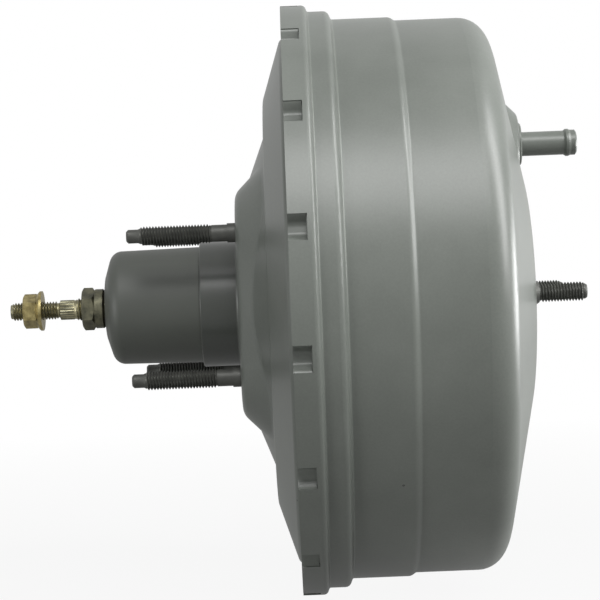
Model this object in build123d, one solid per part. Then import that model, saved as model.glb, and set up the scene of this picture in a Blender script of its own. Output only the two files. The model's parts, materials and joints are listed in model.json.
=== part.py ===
from build123d import *
import os
from math import radians, sqrt, tan

# Vacuum brake booster of the tandem kind: two diaphragms in series behind one pressed steel drum.
# Millimetres. X runs along the booster from the pedal side to the master cylinder, Z is up, and the
# origin is the centre of the flat rear face that is bolted to the bulkhead.

# Fits between pieces
slip = 0.05            # radial gap of a shaft that runs in its hole
seat = 0.05            # gap where one fixed piece sits in another
clear = 0.30           # gap kept between pieces that only pass each other
stroke = 30.0          # full travel of the power piston
end_gap = 1.2          # space left between the pressed plates at full travel
past = 1.0             # how far a cutter runs past the face that it opens
match = 0.01           # tolerance for finding an edge by its size

# Front shell: the skirt's radius, how far each step of the drum drops inside it, and where
skirt_r = 126.8
front_gauge = 1.8
lip_x = 22.1
rim_step_x = 32.3
rim_step_run = 1.1
rim_drop = 2.8
band_step_x = 41.9
band_step_run = 1.5
band_drop = 3.6
ridge_x = 68.2
ridge_run = 2.1
ridge_drop = 1.45
step_crown = 0.75      # bend at the top of a step, as a share of its drop
step_foot = 0.25       # bend at the foot of a step
ridge_bend_r = 3.0
drum_corner_r = 12.0
front_face_x = 122.6
front_pad_r = 50.5
dome_slope = 0.235     # how far the dome falls back per millimetre of radius
dome_blend_r = 25.0
spigot_bore_r = 22.5   # hole for the master cylinder's spigot
spigot_relief = 1.5    # how far the plate behind stands back from that hole

# Vacuum connection on the upper front
nipple_rise = 13.5     # pipe's axis above the edge of the flat front face
boss_step = 0.2        # pipe's seat behind the front face
boss_r = 13.0
boss_draft = 45.0      # angle of the boss's side to the axis
boss_rim_r = 3.0       # rounding round the flat seat
boss_base_r = 8.0      # blend from the boss into the dome
boss_margin = 8.0      # how far the blank of the boss reaches behind the dome
nipple_hole_r = 5.6
nipple_flange_r = 9.3
nipple_flange_t = 1.3
nipple_flange_edge = 0.5
nipple_lip = 1.4       # spun lip behind the shell
pipe_r = 5.2
pipe_bore_r = 3.6
pipe_length = 25.5     # from the seat to the pipe's mouth
pipe_end_rise = 0.25   # end of the pipe is swaged out by this much
pipe_mouth_run = 0.6
pipe_mouth_drop = 0.5
bead_r = 5.9
bead_back = 4.0        # bead's middle behind the pipe's mouth
bead_half = 1.5
bead_crown = 0.5

# Lanced crimps that lock the two shells together
crimp_count = 16
crimp_first_deg = 8.9
crimp_width = 10.4     # along the skirt, between the trough's upper edges
crimp_floor = 4.6
crimp_depth = 4.0
crimp_root = 1.4       # overlap of the strip with the skirt on each side
crimp_sink = 0.32      # keeps the flat overlap under the skirt's round surface
crimp_gauge = 1.3
crimp_bend_r = 1.1
crimp_shear = 0.25     # width of the sheared slot in front of the trough

# Rear shell
rear_gauge = 1.8
neck_length = 16.9
neck_fillet = 1.5
neck_mouth_r = 0.75    # rounding of the neck's mouth
pad_half_y = 48.5
pad_half_z = 46.2
pad_corner_r = 20.0
pad_edge_r = 7.0
pad_base_r = 5.0       # blend from the pad's walls into the cone
pad_depth = 16.0       # how far the blank of the pad reaches forward
dish_bend_r = 3.0      # bends of the rear cover, from the pad outwards
cone_bend_r = 6.0
wall_bend_r = 3.4
flange_bend_r = 1.5
inner_cone_x = 1.25
inner_cone_r = 41.6
annulus_x = 13.1
annulus_inset = 26.3   # from that wall in to the flat ring of the cone
annulus_width = 14.7
wall_x = 21.5
wall_inset = 13.3      # from the skirt in to the rear cover's outer wall
flange_x = 29.2        # rear face of the clamped rim

# Rear studs, pressed through from inside
rear_stud_y = 40.0
rear_stud_z = 30.0
rear_stud_r = 4.0
rear_shank_r = 3.5
rear_stud_out = 45.2
stud_seat_r = 4.6      # part pressed into the plates
stud_shoulder = 3.4
shank_length = 6.5
dog_r = 2.85
dog_length = 5.6
dog_chamfer = 0.8
stud_head_r = 7.0
stud_head_t = 2.6
stud_head_edge = 1.0
rear_plate_t = 2.5
rear_plate_half_y = 45.2
rear_plate_half_z = 42.8
rear_plate_corner = 17.0
rear_plate_gap = 4.0   # from the neck's bore to the plate's hole

# Front studs and the plate that backs the front face
front_stud_y = 38.0
front_stud_r = 4.0
front_stud_tip_x = 144.8
front_stud_foot_r = 5.6
front_stud_foot = 2.4
front_stud_chamfer = 1.0
front_plate_t = 2.5
front_plate_r = 43.0

# Neck guide, seal and cover
tail_r = 19.0
tail_x = -46.0
bush_wall = 6.1        # guide bush between the valve tail and the neck
cover_t = 1.8
cover_face_x = -58.0
cover_hole_r = 14.0
cover_face_slope = 0.32
cover_taper = 0.72     # how much narrower the cover is at its face than in the neck
cover_edge_r = 5.3
seal_length = 6.0
seal_lip = 1.6
seal_run_start = 1 / 3  # part of the seal's length that touches the valve tail
seal_run_end = 0.8
bush_length = 5.2
retainer_t = 1.2
retainer_gap = 1.0     # between the retainer and the valve tail
retainer_grip = 3.6    # how far the retainer reaches past the neck's bore

# Pressed plates inside: four rings of each plate, and how far each ring is stepped forward
plate_t = 1.5
rim_width = 1.5
rim_gap = 9.5          # from the rear cover's wall in to the rim
ring_a_in = 1.0        # where the plates' rings stand against those of the rear cover
ring_b_out = 0.5
ring_c_out = 0.8
ring_mid = 6.9         # steps of the middle ring and the rim
ring_rim = 12.8
plate_rim_run = 2.0
plate_bend_r = 3.0
tight_bend = 0.3
deep_bend_r = 2.0      # bends at the centre plate's hub and wall
lip_bend_r = 1.0
bead_root = 0.8        # where the sheet runs into its bead
bead_web = 1.6         # rear sheet in front of its bead's rear face
fold_gap = 0.1
rear_piston_x = 11.0
diaphragm_t = 2.0
rear_bead_length = 5.4
front_bead_length = 5.4
front_bead_in = 1.0    # bead's inner edge outside the centre plate's ledge
hub_pass = 1.0         # front diaphragm's hole round the centre plate's hub

# Centre plate and its hub
tube_r = 23.0
centre_out_x = 60.6
centre_ledge = 8.3     # width of the ledge that carries the front bead
bead_inset = 2.1
centre_bush_wall = 3.4
centre_bush_length = 4.6
centre_bush_proud = 0.6
centre_bush_short = 1.0
centre_corner = 1.0    # centre plate's last cone starts this much inside the others

# Valve body
tail_wall = 3.5
hub_flange_r = 30.0
hub_flange_t = 4.0
hub_shoulder = 3.0     # step from the sliding tube down to the front hub
front_hub_x = 60.0
hub_edge = 0.8
disc_wall = 8.0        # front hub's wall round the reaction disc
disc_t = 4.0
stem_r = 6.0
tail_edge = 1.0
head_gap = 0.2         # round the plunger's head
head_room = 0.5        # in front of the plunger's head at full travel
port_width = 7.0
port_height = 3.4
port_rise = 0.6167     # vacuum port's middle above the middle of the front hub's wall
key_slot_top = 5.0     # upper end of the key's slot above the axis

# Input side
valve_travel = 1.5
ball_r = 5.0
pivot_x = -8.0
plunger_head_r = 9.0
plunger_head_rear = 6.0
plunger_head_front = 5.0
plunger_edge = 0.8
stem_gap = 0.4         # between the stem at full travel and the reaction disc
socket_mouth = 0.72    # depth and radius of the socket's mouth, as shares of the ball's radius
socket_mouth_r = 0.66
mouth_flare = 2.4
key_x = 2.0
key_t = 2.5
key_width = 16.0
key_groove_r = 4.0
key_top = 3.9          # upper end of the fork's prongs above the axis
rod_neck_r = 3.2
rod_neck_taper = 0.4
rod_neck_sink = 0.6    # neck's end inside the ball
rod_neck_length = 4.0  # behind the plunger
rod_neck_run = 1.6
rod_r = 4.5
rod_shoulder_x = -35.0
rod_shoulder_r = 8.2
rod_shoulder_t = 1.6
collar_r = 8.5
collar_x = -63.5
collar_t = 4.3
collar_edge = 0.5
lock_nut_x = -68.7
lock_nut_af = 16.0
nut_chamfer_deg = 30.0
big_thread_r = 4.9
big_thread_x = -71.6
thread_run_out = 0.8   # where a thread ends at a smaller diameter
thread_start = 0.6     # thread in front of the collar
spline_x = -78.7
spline_r = 4.3
small_thread_r = 3.95
flange_nut_x = -94.3
flange_nut_af = 13.0
flange_nut_hex = 5.2
flange_nut_t = 8.2
flange_nut_r = 8.6
flange_edge = 1.0      # cylindrical edge of the flange
flange_round = 0.4
flange_drop = 0.3
flange_neck = 0.1      # flange's cone starts this much inside the flats
rod_tip_x = -99.9

# Valve set in the tail
poppet_room = 2.1      # between the poppet and the tail's bore
poppet_t = 2.4
poppet_skirt = 9.0
poppet_hole = 2.0      # round the rod's neck
poppet_wall = 1.2
poppet_back = 1.6      # rear face of the valve disc behind its seat
poppet_bead = 1.8
poppet_step = 0.9
poppet_round = 0.4
retainer_cup = 2.2     # length of the poppet's retainer
retainer_base = 1.1
retainer_wall = 1.15
spring_gap = 0.1
filter_t = 8.0
filter_hole_r = 6.8
filter_inset = 0.4

# Springs
main_spring_r = 29.0
main_wire_r = 2.1
main_turns = 5.0
poppet_spring_room = 3.0
poppet_wire_r = 0.6
poppet_turns = 4.0
rod_spring_r = 6.9
rod_wire_r = 0.7
rod_turns = 5.0

# Output side
output_foot_t = 3.6
output_rod_r = 6.0
output_tip_r = 4.6
output_tip_length = 9.6
output_recess = 6.0    # rod's tip behind the booster's front face
output_tip_edge = 2.0
output_foot_edge = 1.0
output_foot_cone = 0.6
output_foot_run = 3.0
cap_t = 1.0
cap_bend_r = 1.4
cap_hole = 3.4         # round the output rod

band_r = skirt_r - rim_drop
barrel_r = band_r - band_drop
drum_r = barrel_r - ridge_drop
wall_r = skirt_r - wall_inset
annulus_out_r = wall_r - annulus_inset
annulus_in_r = annulus_out_r - annulus_width
centre_wall_r = barrel_r - front_gauge - clear
centre_out_r = centre_wall_r - centre_ledge
ring_d_r = wall_r - rim_gap
plate_rim_r = ring_d_r + rim_width
ring_c_r = annulus_out_r + ring_c_out
ring_b_r = annulus_in_r + ring_b_out
ring_a_r = (inner_cone_r + annulus_in_r) / 2 - ring_a_in
nipple_z = front_pad_r + nipple_rise
boss_face_x = front_face_x - boss_step
pipe_tip_x = boss_face_x + pipe_length
bead_x = pipe_tip_x - bead_back
output_tip_x = front_face_x - output_recess
inner_face_x = front_face_x - front_gauge
neck_bore_r = tail_r + slip + bush_wall + seat
neck_r = neck_bore_r + rear_gauge
cover_neck_r = neck_bore_r - seat
cover_front_r = cover_neck_r - cover_taper
tail_bore_r = tail_r - tail_wall
poppet_r = tail_bore_r - poppet_room
poppet_spring_r = poppet_r - poppet_spring_room
retainer_x = rear_gauge + seat
cover_seat_x = retainer_x - bush_length - seal_length - 3 * seat
centre_hub_r = tube_r + slip + centre_bush_wall + seat + plate_t
front_hub_r = tube_r - hub_shoulder
disc_r = front_hub_r - disc_wall
centre_x = rear_piston_x + plate_t + stroke + end_gap
front_piston_x = centre_x + plate_t + centre_bush_length
spring_seat_x = inner_face_x - front_plate_t
disc_x = front_hub_x - disc_t - output_foot_t
plunger_rear_x = pivot_x - plunger_head_rear
poppet_x = plunger_rear_x - slip - poppet_t


def turned(*points):
    """Solid of revolution about the booster's axis from (x, radius) corners."""
    return revolve(make_face(Polyline(*points, close=True)), Axis.X)


def ring(x0, x1, r_in, r_out):
    """Plain ring between two planes and two radii."""
    return turned((x0, r_in), (x0, r_out), (x1, r_out), (x1, r_in))


def rod_along_x(x0, x1, radius, y=0.0, z=0.0):
    """Round bar along X."""
    return Plane((x0, y, z), x_dir=(0, 1, 0), z_dir=(1, 0, 0)) * extrude(Circle(radius), x1 - x0)


def hexagon_nut(x0, x1, across_flats, bore_r):
    """Hexagon with both ends chamfered by a cone, and a round bore."""
    corner_r = across_flats / sqrt(3)
    drop = (corner_r - across_flats / 2) * tan(radians(nut_chamfer_deg))
    blank = Plane((x0, 0, 0), x_dir=(0, 0, 1), z_dir=(1, 0, 0)) * extrude(
        RegularPolygon(corner_r, 6), x1 - x0
    )
    cone = turned(
        (x0, 0),
        (x0, across_flats / 2),
        (x0 + drop, corner_r),
        (x1 - drop, corner_r),
        (x1, across_flats / 2),
        (x1, 0),
    )
    return (blank & cone) - rod_along_x(x0, x1, bore_r)


def moved_right(points, gauge):
    """The same (x, radius) path moved to its right-hand side by the sheet's gauge."""
    result = []
    last = len(points) - 1
    for i, (x, r) in enumerate(points):
        before = Vector(*points[max(i - 1, 0)])
        here = Vector(x, r)
        after = Vector(*points[min(i + 1, last)])
        go_in = (here - before).normalized() if i > 0 else (after - here).normalized()
        go_out = (after - here).normalized() if i < last else go_in
        side_in = Vector(go_in.Y, -go_in.X)
        side_out = Vector(go_out.Y, -go_out.X)
        mitre = (side_in + side_out) / (1 + side_in.dot(side_out))
        moved = here + mitre * gauge
        result.append((moved.X, moved.Y))
    return result


def turns_right(points, i):
    """True where the path bends to its right at an inner corner."""
    (x0, r0), (x1, r1), (x2, r2) = points[i - 1], points[i], points[i + 1]
    return (x1 - x0) * (r2 - r1) - (r1 - r0) * (x2 - x1) < 0


def far_bends(points, radii, gauge):
    """Bend radii of a sheet's right-hand face, from those of its left-hand face."""
    result = []
    for i, radius in enumerate(radii, start=1):
        result.append(radius - gauge if turns_right(points, i) else radius + gauge)
    return result


def pressed(points, radii, gauge):
    """Revolved sheet: the left-hand face's corners with their bend radii, gauge to the right."""
    inner = moved_right(points, gauge)
    outer_line = FilletPolyline(*points, radius=radii)
    inner_line = FilletPolyline(*inner, radius=far_bends(points, radii, gauge))
    ends = Line(points[0], inner[0]) + Line(points[-1], inner[-1])
    return revolve(make_face(outer_line + inner_line + ends), Axis.X)


def filled(points, radii):
    """Solid inside an (x, radius) path, closed down to the axis at both ends."""
    line = FilletPolyline(*points, radius=radii)
    first, last = points[0], points[-1]
    closing = Polyline(first, (first[0], 0), (last[0], 0), last)
    return revolve(make_face(line + closing), Axis.X)


def around(solid, count, first_deg):
    """Copies of a solid at equal angles about the booster's axis."""
    step = 360 / count
    return [Rot(first_deg + i * step, 0, 0) * solid for i in range(count)]


def coil(x0, x1, mean_r, wire_r, turns):
    """Round wire coil along X with its end turns cut square by the seats."""
    pitch = (x1 - x0 - 2 * wire_r) / turns
    path = Helix(pitch, x1 - x0 - 2 * wire_r, mean_r)
    wire = sweep(Plane(path @ 0, z_dir=path % 0) * Circle(wire_r), path, is_frenet=True)
    stand = Plane((x0 + wire_r, 0, 0), x_dir=(0, 1, 0), z_dir=(1, 0, 0))
    return stand * wire


def dome_x(r):
    """Outer face of the dome at a radius."""
    return front_face_x - dome_slope * (r - front_pad_r)


def front_shell():
    """Drum with stepped bands, domed front, spigot bore, stud holes, hose boss and crimps."""
    outline = [
        (lip_x, skirt_r),
        (rim_step_x, skirt_r),
        (rim_step_x + rim_step_run, band_r),
        (band_step_x, band_r),
        (band_step_x + band_step_run, barrel_r),
        (ridge_x, barrel_r),
        (ridge_x + ridge_run, drum_r),
        (dome_x(drum_r), drum_r),
        (front_face_x, front_pad_r),
        (front_face_x, spigot_bore_r),
    ]
    bends = [
        rim_drop * step_crown,
        rim_drop * step_foot,
        band_drop * step_crown,
        band_drop * step_foot,
        ridge_bend_r,
        ridge_bend_r / 2,
        drum_corner_r,
        dome_blend_r,
    ]
    shell = add_boss(pressed(outline, bends, front_gauge))
    for side in (-1, 1):
        shell -= rod_along_x(
            inner_face_x - past, front_face_x + past, stud_seat_r + seat, y=side * front_stud_y
        )
    return add_crimps(shell)


def boss_form(face_x, radius, rim_r):
    """Round boss for the hose pipe: flat seat, rounded rim and a side that widens to its base."""
    base_x = dome_x(nipple_z + boss_r) - boss_margin
    spread = (face_x - base_x) * tan(radians(boss_draft))
    side = FilletPolyline((face_x, 0), (face_x, radius), (base_x, radius + spread), radius=rim_r)
    closing = Polyline((base_x, radius + spread), (base_x, 0), (face_x, 0))
    return Pos(0, 0, nipple_z) * revolve(make_face(side + closing), Axis.X)


def under_dome():
    """Space behind the dome, up to the sheet's inner face."""
    edge_r = drum_r - front_gauge
    corners = [
        (ridge_x + drum_corner_r, edge_r),
        (dome_x(drum_r) - front_gauge, edge_r),
        (inner_face_x, front_pad_r),
        (inner_face_x, nipple_hole_r),
    ]
    return filled(corners, [drum_corner_r - front_gauge, dome_blend_r])


def boss_base(shell):
    """Edges where the boss meets the dome's outer face."""
    return [
        edge
        for edge in shell.edges().filter_by(GeomType.BSPLINE)
        if edge.bounding_box().center().X > dome_x(nipple_z + boss_r)
        and edge.bounding_box().size.Y > nipple_hole_r
    ]


def add_boss(shell):
    """Raise the boss out of the dome, hollow it at the sheet's own gauge and drill it."""
    shell = shell + (boss_form(boss_face_x, boss_r, boss_rim_r) - under_dome())
    shell = fillet(boss_base(shell), boss_base_r)
    shrink = front_gauge * tan(radians((90 - boss_draft) / 2))
    inner_x = boss_face_x - front_gauge
    shell -= boss_form(inner_x, boss_r - shrink, boss_rim_r - front_gauge)
    drill_x = dome_x(nipple_z + boss_r) - boss_margin
    return shell - rod_along_x(drill_x, boss_face_x + past, nipple_hole_r, z=nipple_z)


def crimp_strip():
    """Strip of the skirt pushed in as a shallow trough, from the lip to the clamped rim."""
    top_r = skirt_r - crimp_sink
    half_top = crimp_width / 2
    half_floor = crimp_floor / 2
    path = [
        (-half_top - crimp_root, top_r),
        (-half_top, top_r),
        (-half_floor, top_r - crimp_depth),
        (half_floor, top_r - crimp_depth),
        (half_top, top_r),
        (half_top + crimp_root, top_r),
    ]
    under = moved_right(path, crimp_gauge)
    outer_line = FilletPolyline(*path, radius=crimp_bend_r + crimp_gauge)
    inner_line = FilletPolyline(*under, radius=crimp_bend_r)
    ends = Line(path[0], under[0]) + Line(path[-1], under[-1])
    section = make_face(outer_line + inner_line + ends)
    place = Plane((lip_x, 0, 0), x_dir=(0, 1, 0), z_dir=(1, 0, 0))
    return place * extrude(section, flange_x - seat - lip_x)


def add_crimps(shell):
    """Shear the skirt beside the clamped rim at each crimp and push the strip in behind it."""
    window = Pos(lip_x - past, 0, skirt_r) * Box(
        flange_x + crimp_shear - lip_x + past,
        crimp_width,
        2 * crimp_depth,
        align=(Align.MIN, Align.CENTER, Align.CENTER),
    )
    shell = shell - around(window, crimp_count, crimp_first_deg)
    return shell + around(crimp_strip(), crimp_count, crimp_first_deg)


def rear_outline():
    """Outer face of the rear shell from inside the pad to the clamped rim."""
    return [
        (inner_cone_x, neck_bore_r / 2),
        (inner_cone_x, inner_cone_r),
        (annulus_x, annulus_in_r),
        (annulus_x, annulus_out_r),
        (wall_x, wall_r),
        (flange_x, wall_r),
        (flange_x, skirt_r - front_gauge - seat),
    ]


def pad_block(inset):
    """Raised pad with rounded corners and 45 degree walls, inset along its walls by the gauge."""
    drop = inset * sqrt(2)

    def section(x):
        grow = x - drop
        place = Plane((x, 0, 0), x_dir=(0, 1, 0), z_dir=(1, 0, 0))
        return place * RectangleRounded(
            2 * (pad_half_y + grow), 2 * (pad_half_z + grow), pad_corner_r + grow
        )

    block = loft([section(inset), section(pad_depth)], ruled=True)
    return fillet(block.edges().group_by(Axis.X)[0], pad_edge_r - inset)


def pad_base(shell):
    """Edges where the pad's walls meet the cone around it."""
    return [
        edge
        for edge in shell.edges()
        if edge.geom_type not in (GeomType.LINE, GeomType.CIRCLE)
        and edge.length > pad_corner_r
        and inner_cone_x < edge.bounding_box().center().X < annulus_x
    ]


def rear_shell():
    """Pressed rear cover: guide neck, square mounting pad, stepped cone and clamped rim."""
    bends = [dish_bend_r, cone_bend_r, cone_bend_r, wall_bend_r, flange_bend_r]
    outline = rear_outline()
    sheet = pressed(outline, bends, rear_gauge)
    outer_fill = filled(outline, bends)
    inner_fill = filled(moved_right(outline, rear_gauge), far_bends(outline, bends, rear_gauge))
    outer_pad = pad_block(0)
    inner_pad = pad_block(rear_gauge)
    shell = sheet + (outer_pad - inner_fill)
    shell = fillet(pad_base(shell), pad_base_r) - inner_pad
    shell -= rod_along_x(-past, rear_gauge + past, neck_bore_r)
    neck = ring(-neck_length, rear_gauge, neck_bore_r, neck_r)
    neck = fillet(neck.edges().group_by(Axis.X)[0], neck_mouth_r)
    shell = shell + neck
    corner = [
        edge
        for edge in shell.edges().filter_by(GeomType.CIRCLE)
        if abs(edge.radius - neck_r) < match and abs(edge.arc_center.X) < match
    ]
    shell = fillet(corner, neck_fillet)
    hole_r = stud_seat_r + seat
    return shell - [rod_along_x(-past, rear_gauge + past, hole_r, y, z) for y, z in rear_places()]


def rear_places():
    """Centres of the four rear studs."""
    return [(y * rear_stud_y, z * rear_stud_z) for y in (-1, 1) for z in (-1, 1)]


def rear_studs():
    """Four studs: head inside, shoulder through the plates, thread and dog point outside."""
    head_x = rear_gauge + rear_plate_t + 2 * seat
    thread_x = -stud_shoulder - shank_length
    dog_x = -rear_stud_out + dog_length
    stud = turned(
        (head_x + stud_head_t, 0),
        (head_x + stud_head_t, stud_head_r - stud_head_edge),
        (head_x + stud_head_t - stud_head_edge, stud_head_r),
        (head_x, stud_head_r),
        (head_x, stud_seat_r),
        (0, stud_seat_r),
        (0, rear_stud_r),
        (-stud_shoulder, rear_stud_r),
        (-stud_shoulder, rear_shank_r),
        (thread_x, rear_shank_r),
        (thread_x, rear_stud_r),
        (dog_x, rear_stud_r),
        (dog_x - dog_chamfer, dog_r),
        (-rear_stud_out + dog_chamfer, dog_r),
        (-rear_stud_out, dog_r - dog_chamfer),
        (-rear_stud_out, 0),
    )
    return [Pos(0, y, z) * stud for y, z in rear_places()]


def rear_reinforcement():
    """Flat plate behind the mounting pad that spreads the load of the four studs."""
    x0 = rear_gauge + seat
    place = Plane((x0, 0, 0), x_dir=(0, 1, 0), z_dir=(1, 0, 0))
    blank = place * extrude(
        RectangleRounded(2 * rear_plate_half_y, 2 * rear_plate_half_z, rear_plate_corner),
        rear_plate_t,
    )
    x1 = x0 + rear_plate_t + past
    hole_r = stud_seat_r + seat
    blank -= rod_along_x(0, x1, neck_bore_r + rear_plate_gap)
    return blank - [rod_along_x(0, x1, hole_r, y, z) for y, z in rear_places()]


def front_reinforcement():
    """Round plate behind the front face, with holes for the spigot and the two studs."""
    x1 = inner_face_x - seat
    x0 = x1 - front_plate_t
    hole_r = stud_seat_r + seat
    plate = ring(x0, x1, spigot_bore_r + spigot_relief, front_plate_r)
    return plate - [
        rod_along_x(x0 - past, x1 + past, hole_r, y=side * front_stud_y) for side in (-1, 1)
    ]


def front_studs():
    """Two studs for the master cylinder, with a head inside and a tapered foot outside."""
    head_x = inner_face_x - front_plate_t - 2 * seat
    stud = turned(
        (head_x - stud_head_t, 0),
        (head_x - stud_head_t, stud_head_r - stud_head_edge),
        (head_x, stud_head_r - stud_head_edge),
        (head_x, stud_seat_r),
        (front_face_x + seat, stud_seat_r),
        (front_face_x + seat, front_stud_foot_r),
        (front_face_x + front_stud_foot, front_stud_r),
        (front_stud_tip_x - front_stud_chamfer, front_stud_r),
        (front_stud_tip_x, front_stud_r - front_stud_chamfer),
        (front_stud_tip_x, 0),
    )
    return [Pos(0, side * front_stud_y, 0) * stud for side in (-1, 1)]


def vacuum_nipple():
    """Hose pipe with a washer flange, a retaining bead near its tip and a spun lip inside."""
    base_x = boss_face_x + seat
    lip_end_x = boss_face_x - front_gauge - nipple_lip
    pipe = turned(
        (lip_end_x, pipe_bore_r),
        (lip_end_x, nipple_hole_r - seat),
        (base_x, nipple_hole_r - seat),
        (base_x, nipple_flange_r),
        (base_x + nipple_flange_t - nipple_flange_edge, nipple_flange_r),
        (base_x + nipple_flange_t, nipple_flange_r - nipple_flange_edge),
        (base_x + nipple_flange_t, pipe_r),
        (bead_x - bead_half, pipe_r),
        (bead_x - bead_crown, bead_r),
        (bead_x + bead_crown, bead_r),
        (bead_x + bead_half, pipe_r + pipe_end_rise),
        (pipe_tip_x - pipe_mouth_run, pipe_r + pipe_end_rise),
        (pipe_tip_x, pipe_r - pipe_mouth_drop),
        (pipe_tip_x, pipe_bore_r),
    )
    return Pos(0, 0, nipple_z) * pipe


def cover_outline():
    """Outer face of the neck cover from its rod hole to its seat in the neck."""
    face_rise = cover_face_slope * (cover_front_r - cover_hole_r)
    return [
        (cover_face_x, cover_hole_r),
        (cover_face_x + face_rise, cover_front_r),
        (cover_seat_x, cover_neck_r),
    ]


def neck_cover():
    """Moulded cover over the valve tail, with a slightly domed face and a wide hole for the rod."""
    return pressed(cover_outline(), [cover_edge_r], cover_t)


def rear_seal():
    """Lip seal between the neck and the valve tail."""
    x0 = cover_seat_x + seat
    outer = neck_bore_r - seat
    inner = tail_r + slip
    return turned(
        (x0, inner + seal_lip),
        (x0, outer),
        (x0 + seal_length, outer),
        (x0 + seal_length, inner + seal_lip / 4),
        (x0 + seal_length * seal_run_end, inner),
        (x0 + seal_length * seal_run_start, inner),
    )


def rear_bush():
    """Plain guide bush in front of the lip seal."""
    x0 = cover_seat_x + seal_length + 2 * seat
    return ring(x0, x0 + bush_length, tail_r + slip, neck_bore_r - seat)


def seal_retainer():
    """Pressed ring that holds the bush and seal in the neck."""
    return ring(retainer_x, retainer_x + retainer_t, tail_r + retainer_gap, neck_bore_r + retainer_grip)


def stepped_path(x, first_r, rim_r):
    """Rear face of a pressed plate: three steps forward from the hub to the rim."""
    return [
        (x, first_r),
        (x, ring_a_r),
        (x + ring_mid, ring_b_r),
        (x + ring_mid, ring_c_r),
        (x + ring_rim, ring_d_r),
        (x + ring_rim + plate_rim_run, rim_r),
    ]


def piston_plate(x, bore_r):
    """Diaphragm plate: stepped disc with its rim turned forward."""
    path = stepped_path(x, bore_r, plate_rim_r)
    return pressed(path, [plate_bend_r] * 4, plate_t)


def centre_plate():
    """Fixed plate between the two chambers, with a wall and a flange that clamp both beads."""
    hub_end_x = centre_x + centre_bush_length
    flange_start = flange_x + rear_gauge + rear_bead_length
    path = [
        (hub_end_x, centre_hub_r - plate_t),
        (centre_x, centre_hub_r - plate_t),
        (centre_x, ring_a_r),
        (centre_x + ring_mid, ring_b_r),
        (centre_x + ring_mid, ring_c_r),
        (centre_x + ring_rim, ring_d_r - centre_corner),
        (centre_out_x, centre_out_r),
        (centre_out_x, centre_wall_r - plate_t),
        (flange_start, centre_wall_r - plate_t),
        (flange_start, band_r - front_gauge - seat),
    ]
    bends = [deep_bend_r] + [plate_bend_r] * 4 + [deep_bend_r, lip_bend_r, deep_bend_r]
    return pressed(path, bends, plate_t)


def centre_bush():
    """Moulded bush and seal in the centre plate's hub, running on the valve body's tube."""
    bore_r = tube_r + slip
    x0 = centre_x - centre_bush_proud
    x1 = centre_x + centre_bush_length - centre_bush_short
    return ring(x0, x1, bore_r, bore_r + centre_bush_wall)


def diaphragm(x, bore_r, fold_x, bead):
    """Rubber sheet on a plate's rear face, a rolled fold outside its rim, and a clamped bead."""
    bead_x0, bead_x1, bead_in_r, bead_out_r = bead
    lift = diaphragm_t + seat
    lifted = moved_right(stepped_path(x, bore_r, plate_rim_r)[:-1], -lift)
    end_x, end_r = lifted.pop()
    fold_r = plate_rim_r + lift + seat
    run = (ring_rim - ring_mid) / (ring_d_r - ring_c_r)
    lifted.append((end_x + (fold_r - end_r) * run, fold_r))
    path = lifted + [(fold_x, fold_r), (fold_x, bead_in_r + bead_root)]
    over = plate_bend_r + lift
    under = plate_bend_r - lift
    sheet = pressed(path, [over, under, over, diaphragm_t + tight_bend, tight_bend], diaphragm_t)
    return sheet + ring(bead_x0, bead_x1, bead_in_r, bead_out_r)


def rear_diaphragm():
    """Diaphragm of the rear chamber, clamped between the rear shell and the centre plate."""
    bead_x0 = flange_x + rear_gauge + seat
    bead_x1 = bead_x0 + rear_bead_length - 2 * seat
    bead = (bead_x0, bead_x1, wall_r + bead_inset, band_r - front_gauge - clear)
    return diaphragm(rear_piston_x, hub_flange_r + clear, bead_x0 + bead_web, bead)


def front_diaphragm():
    """Diaphragm of the front chamber, clamped between the centre plate and the drum's ridge."""
    bead_x0 = centre_out_x + plate_t + seat
    bead_x1 = bead_x0 + front_bead_length
    bead = (bead_x0, bead_x1, centre_out_r + front_bead_in, centre_wall_r - 2 * clear)
    return diaphragm(front_piston_x, centre_hub_r + hub_pass, bead_x1 - diaphragm_t - fold_gap, bead)


def valve_body():
    """Moulded body: rear tail, hub flange, sliding tube and front hub, bored for the valve set."""
    flange_start = rear_piston_x - hub_flange_t
    head_end_x = pivot_x + plunger_head_front + valve_travel + head_room
    seat_x = poppet_x + poppet_t + clear
    head_bore_r = plunger_head_r + slip + head_gap
    body = turned(
        (tail_x, tail_bore_r),
        (tail_x, tail_r - tail_edge),
        (tail_x + tail_edge, tail_r),
        (flange_start, tail_r),
        (flange_start, hub_flange_r),
        (rear_piston_x - seat, hub_flange_r),
        (rear_piston_x - seat, tube_r),
        (front_piston_x - seat, tube_r),
        (front_piston_x - seat, front_hub_r),
        (front_hub_x - hub_edge, front_hub_r),
        (front_hub_x, front_hub_r - hub_edge),
        (front_hub_x, disc_r + seat),
        (disc_x, disc_r + seat),
        (disc_x, stem_r + slip),
        (head_end_x, stem_r + slip),
        (head_end_x, head_bore_r),
        (seat_x, head_bore_r),
        (seat_x, tail_bore_r),
    )
    key_slot = Pos(key_x - seat, 0, key_slot_top) * Box(
        key_t + 2 * seat,
        key_width + 2 * seat,
        key_slot_top + tail_r + past,
        align=(Align.MIN, Align.CENTER, Align.MAX),
    )
    vacuum_port = Pos(flange_start, 0, (front_hub_r + stem_r) / 2 + port_rise) * Box(
        front_hub_x - flange_start + past,
        port_width,
        port_height,
        align=(Align.MIN, Align.CENTER, Align.CENTER),
    )
    return body - key_slot - vacuum_port


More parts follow.
